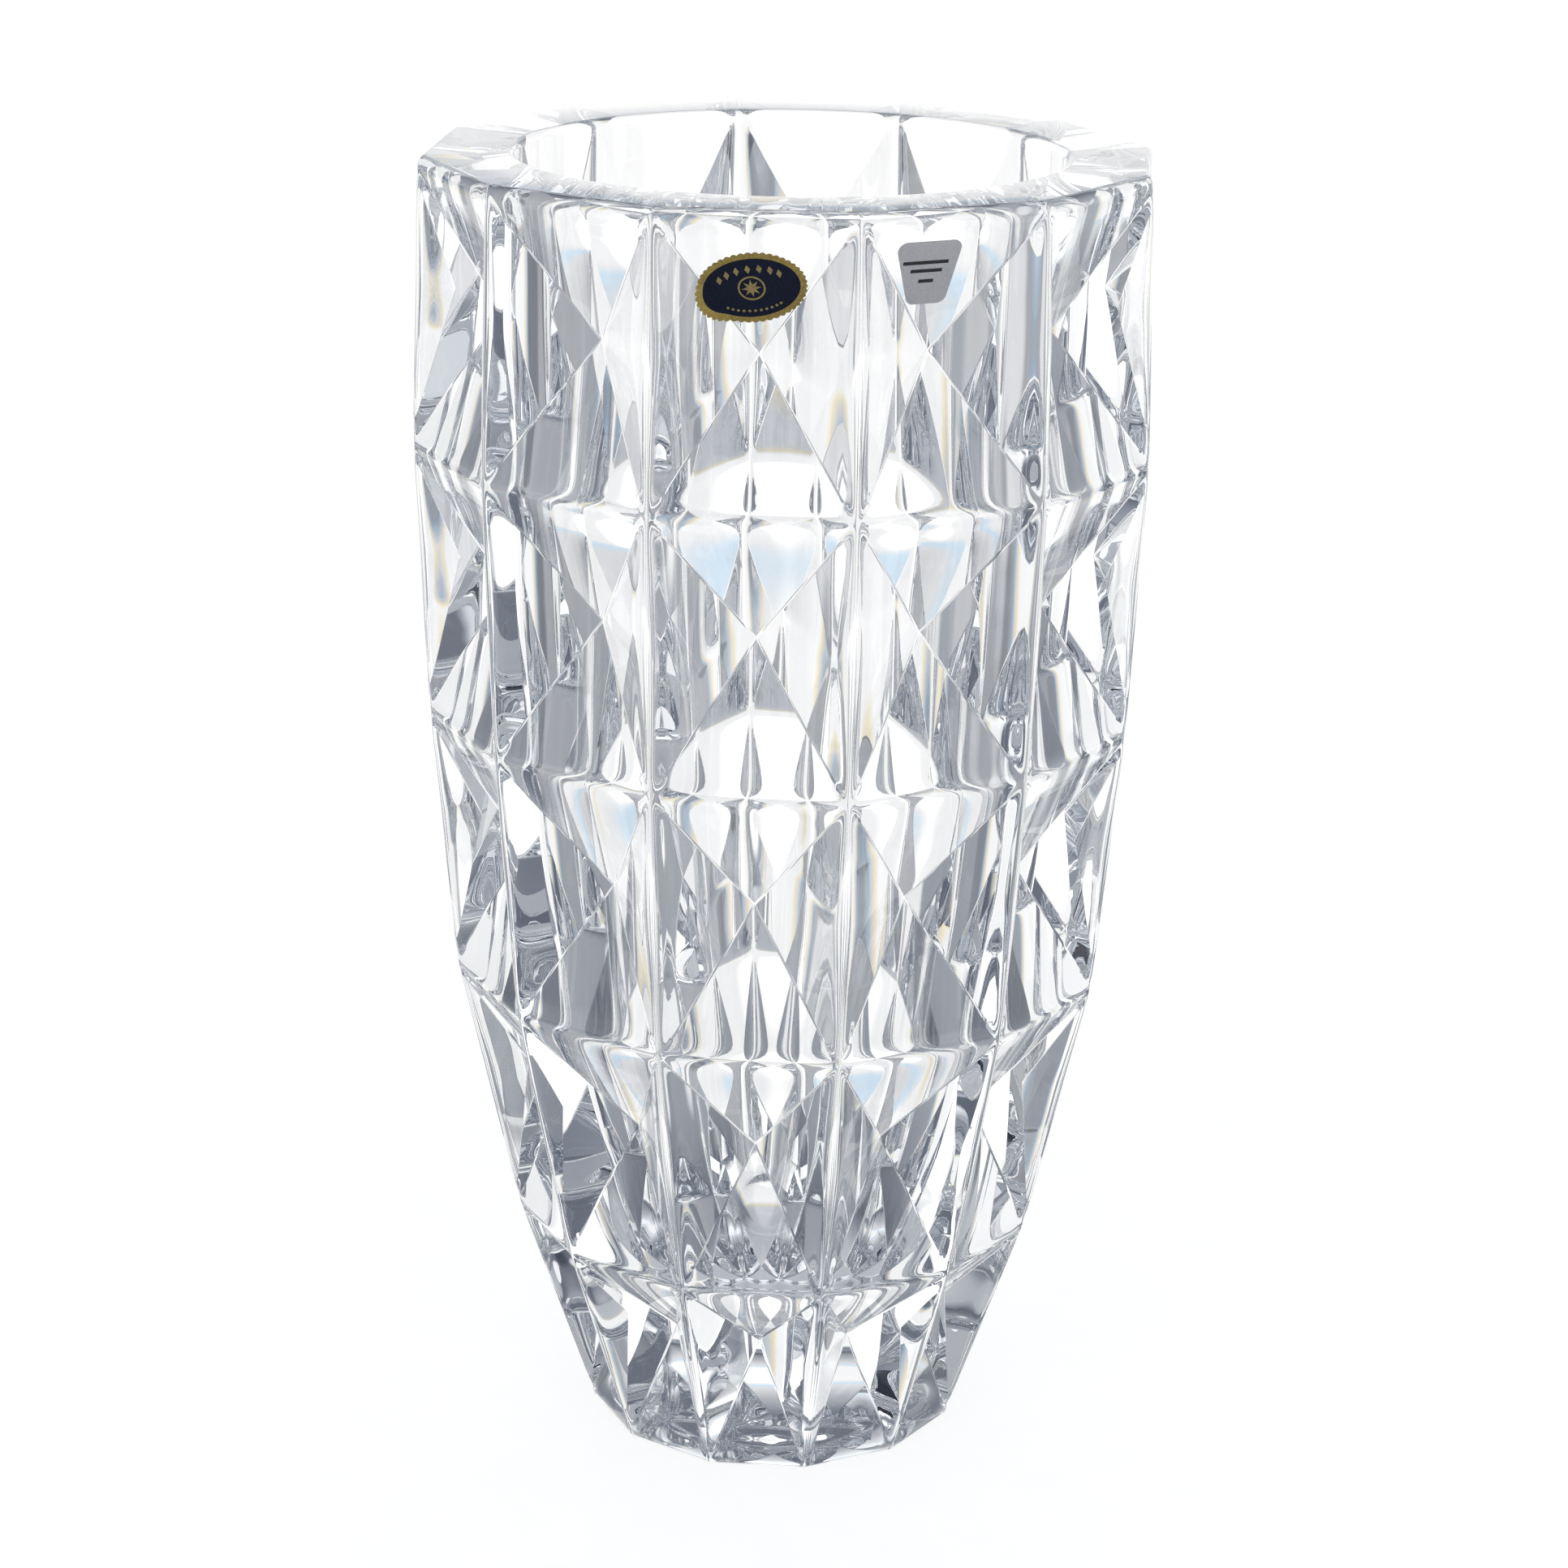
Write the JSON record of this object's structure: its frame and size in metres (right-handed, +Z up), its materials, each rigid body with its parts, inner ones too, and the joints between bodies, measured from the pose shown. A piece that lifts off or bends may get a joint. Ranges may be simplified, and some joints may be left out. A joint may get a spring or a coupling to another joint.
{
  "type": "cut crystal vase",
  "caption": "Tall heavy crystal vase with flat sides, rows of recessed pyramid cuts, a smooth round cavity, a thick solid base and two small stickers below the rim.",
  "frame": {"origin": "middle of the resting face under the foot", "axes": "+Z up along the vase's own axis; -Y towards the flat that carries the oval sticker; +X to the right as seen from there"},
  "size_m": [0.1652, 0.1652, 0.305],
  "materials": {
    "crystal": "fire-polished clear crystal",
    "gold_foil": "matt gold foil with a scalloped edge",
    "navy_print": "dark blue print on foil",
    "gold_print": "gold stamping on the print",
    "silver_foil": "matt silver foil",
    "dark_print": "black print on foil"
  },
  "bodies": {
    "root": {"glass_body": "crystal", "oval_foil": "gold_foil", "oval_field": "navy_print", "oval_device": "gold_print", "grade_foil": "silver_foil", "grade_marks": "dark_print"}
  },
  "joints": []
}
